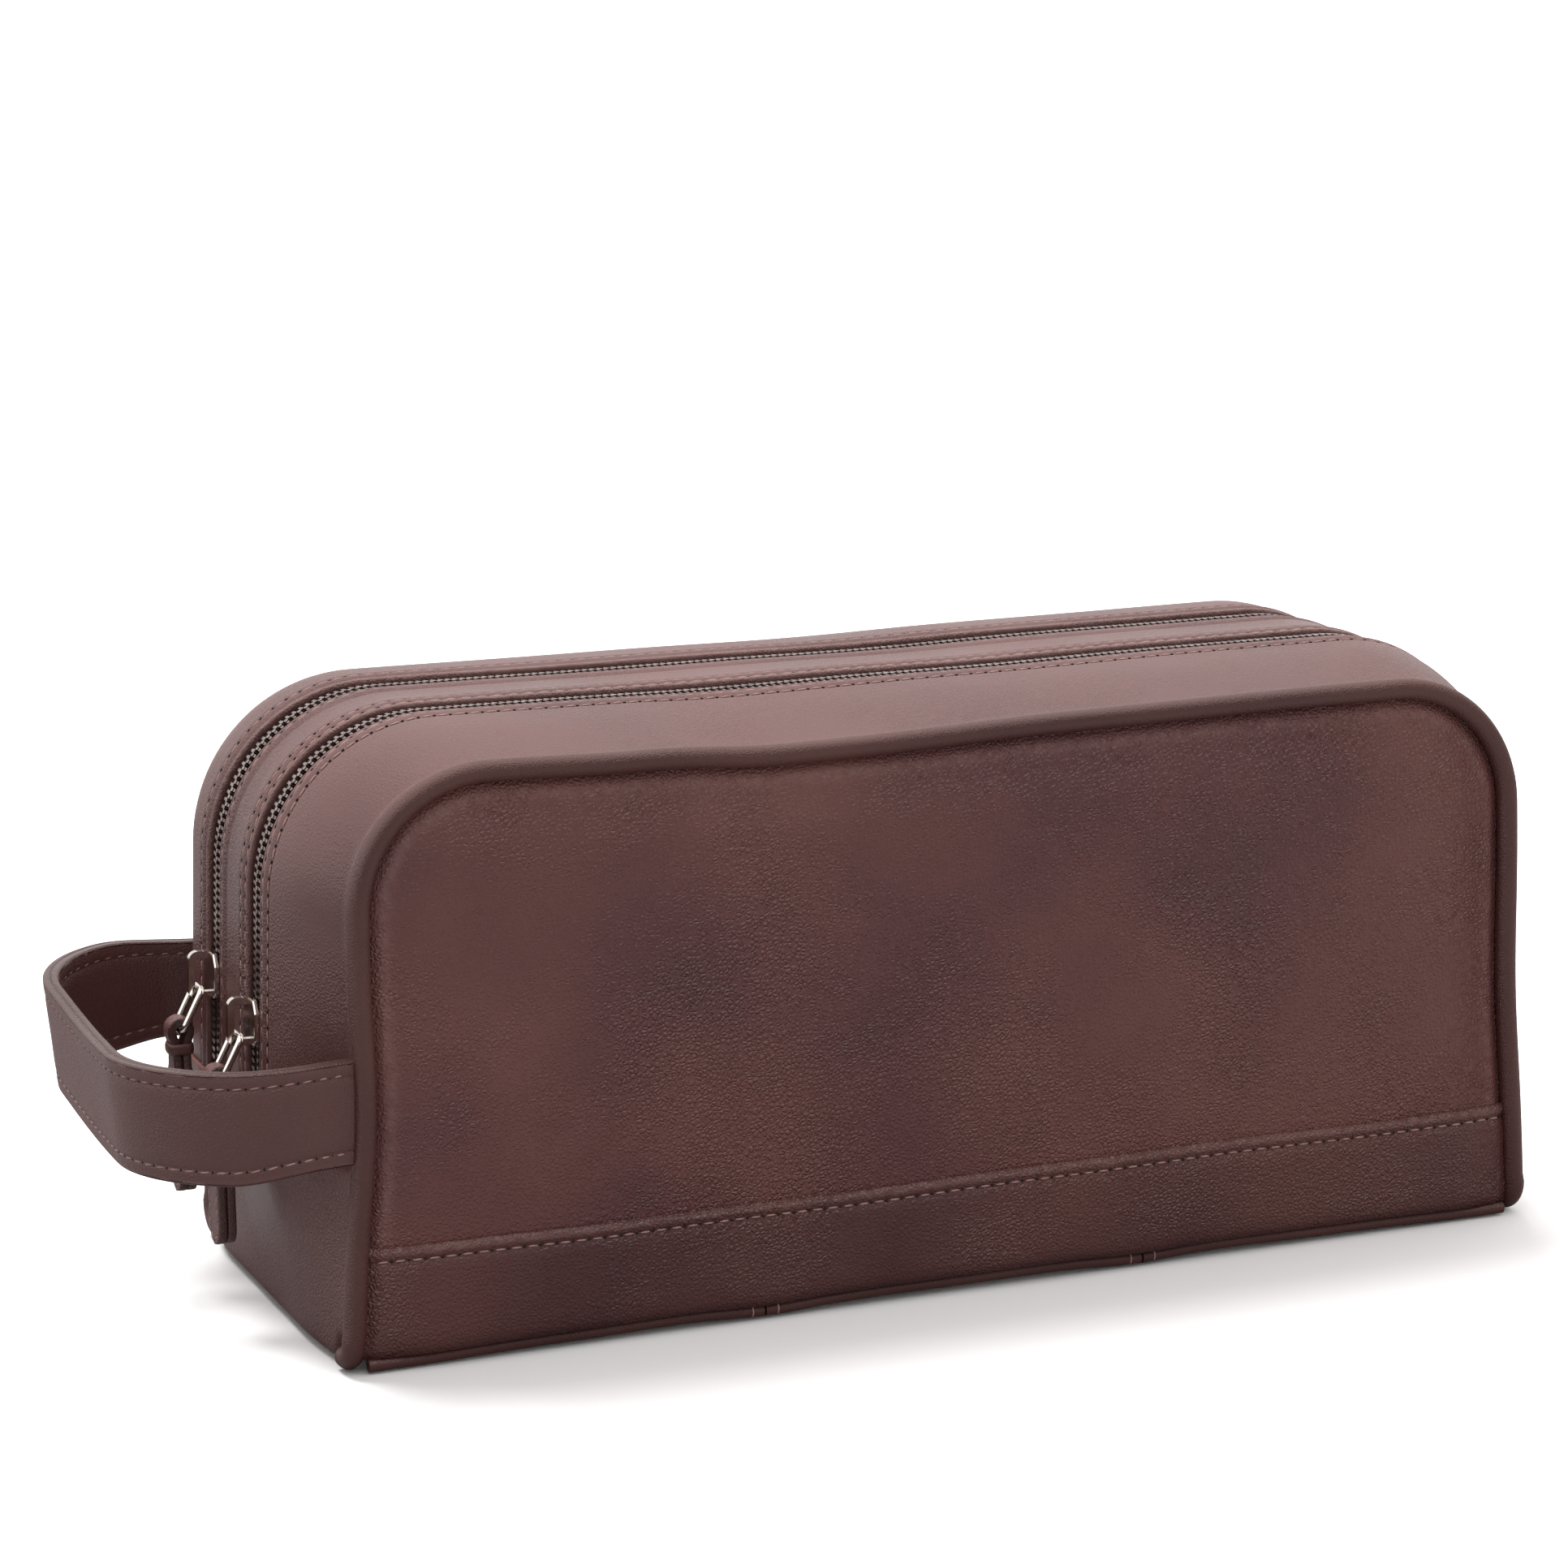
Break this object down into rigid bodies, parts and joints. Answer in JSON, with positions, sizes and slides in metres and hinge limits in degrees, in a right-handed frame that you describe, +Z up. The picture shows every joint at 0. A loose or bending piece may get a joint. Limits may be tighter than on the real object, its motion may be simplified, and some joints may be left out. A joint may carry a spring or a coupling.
{
  "type": "shaving kit bag",
  "caption": "Box-shaped leather wash bag with piped edges, parallel metal zips over the top and a side carry handle.",
  "frame": {"origin": "middle of the flat base, on the surface the bag stands on", "axes": "+X along the bag's length away from the handle end, -Y towards the front panel, +Z up"},
  "size_m": [0.3271, 0.1164, 0.1306],
  "materials": {
    "leather": "satin, fine pebble grain",
    "piping_leather": "satin, smooth",
    "zip_tape": "matt herringbone tape",
    "nickel": "polished nickel plate",
    "lining": "matt plain-weave lining",
    "cord": "matt cotton cord",
    "board": "matt board"
  },
  "bodies": {
    "bag": {"front_panel": "leather", "back_panel": "leather", "front_base_band": "leather", "back_base_band": "leather", "front_gusset_strip": "leather", "centre_gusset_strip": "leather", "back_gusset_strip": "leather", "left_end_panel": "leather", "right_end_panel": "leather", "base_panel": "leather", "base_stiffener": "board", "front_piping_cover": "piping_leather", "front_piping_cord": "cord", "back_piping_cover": "piping_leather", "back_piping_cord": "cord", "front_bottom_welt": "piping_leather", "back_bottom_welt": "piping_leather", "front_zip_tapes": "zip_tape", "rear_zip_tapes": "zip_tape", "front_zip_chain": "nickel", "rear_zip_chain": "nickel", "zip_bottom_stops": "nickel", "zip_top_stops": "nickel", "centre_divider": "lining", "front_lining": "lining", "rear_lining": "lining", "handle_front_end": "leather", "handle_rear_end": "leather"},
    "handle_loop": {"handle_outer_strap": "leather", "handle_inner_strap": "leather"},
    "front_slider": {"front_slider": "nickel", "front_slider_bail": "nickel"},
    "front_ring": {"front_pull_ring": "nickel"},
    "front_pull": {"front_pull_tab": "leather", "front_pull_keeper": "leather"},
    "rear_slider": {"rear_slider": "nickel", "rear_slider_bail": "nickel"},
    "rear_ring": {"rear_pull_ring": "nickel"},
    "rear_pull": {"rear_pull_tab": "leather", "rear_pull_keeper": "leather"}
  },
  "joints": [
    {"name": "handle_swing", "type": "hinge", "parent": "bag", "child": "handle_loop", "pos_m": [-0.15, 0, 0.054], "axis": [0, 1, 0], "range_deg": [-25, 25], "stiffness_Nm_per_rad": 0.25},
    {"name": "front_zip_slide", "type": "slide", "parent": "bag", "child": "front_slider", "axis": [0.0395, 0, 0.9992], "range_m": [-0.0015, 0.021], "deforming": ["front_zip_chain"]},
    {"name": "front_ring_swing", "type": "hinge", "parent": "front_slider", "child": "front_ring", "pos_m": [-0.14916, -0.016, 0.06427], "axis": [0, 1, 0], "range_deg": [-2.5, 12]},
    {"name": "front_tab_swing", "type": "hinge", "parent": "front_ring", "child": "front_pull", "pos_m": [-0.15385, -0.016, 0.05545], "axis": [0, 1, 0], "range_deg": [-2.5, 12]},
    {"name": "rear_zip_slide", "type": "slide", "parent": "bag", "child": "rear_slider", "axis": [0.0395, 0, 0.9992], "range_m": [-0.0015, 0.018], "deforming": ["rear_zip_chain"]},
    {"name": "rear_ring_swing", "type": "hinge", "parent": "rear_slider", "child": "rear_ring", "pos_m": [-0.14904, 0.016, 0.06728], "axis": [0, 1, 0], "range_deg": [-2.5, 12]},
    {"name": "rear_tab_swing", "type": "hinge", "parent": "rear_ring", "child": "rear_pull", "pos_m": [-0.15374, 0.016, 0.05844], "axis": [0, 1, 0], "range_deg": [-2.5, 12]}
  ]
}
